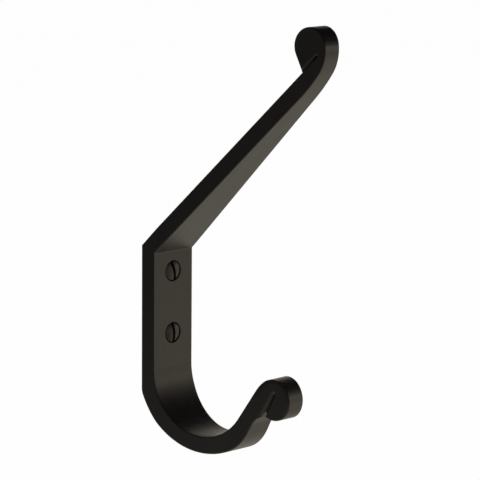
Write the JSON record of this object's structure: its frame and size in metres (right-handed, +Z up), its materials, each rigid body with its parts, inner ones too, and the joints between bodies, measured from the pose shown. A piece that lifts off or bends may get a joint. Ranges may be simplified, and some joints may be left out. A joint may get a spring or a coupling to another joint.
{
  "type": "hat and coat hook",
  "caption": "Wall-mounted hat and coat hook: a long rising arm with a curled end above a short upturned coat hook, with its wood screws.",
  "frame": {"origin": "on the plate's back face, midway between the two screws", "axes": "+Z up along the plate, +Y into the wall, +X along the plate's width; the arm and the hook stand out to -Y"},
  "size_m": [0.02, 0.0952, 0.1608],
  "materials": {
    "coated_bar": "satin black powder coat",
    "screw_steel": "satin black"
  },
  "bodies": {
    "root": {"hook": "coated_bar", "upper_screw": "screw_steel", "lower_screw": "screw_steel"}
  },
  "joints": []
}
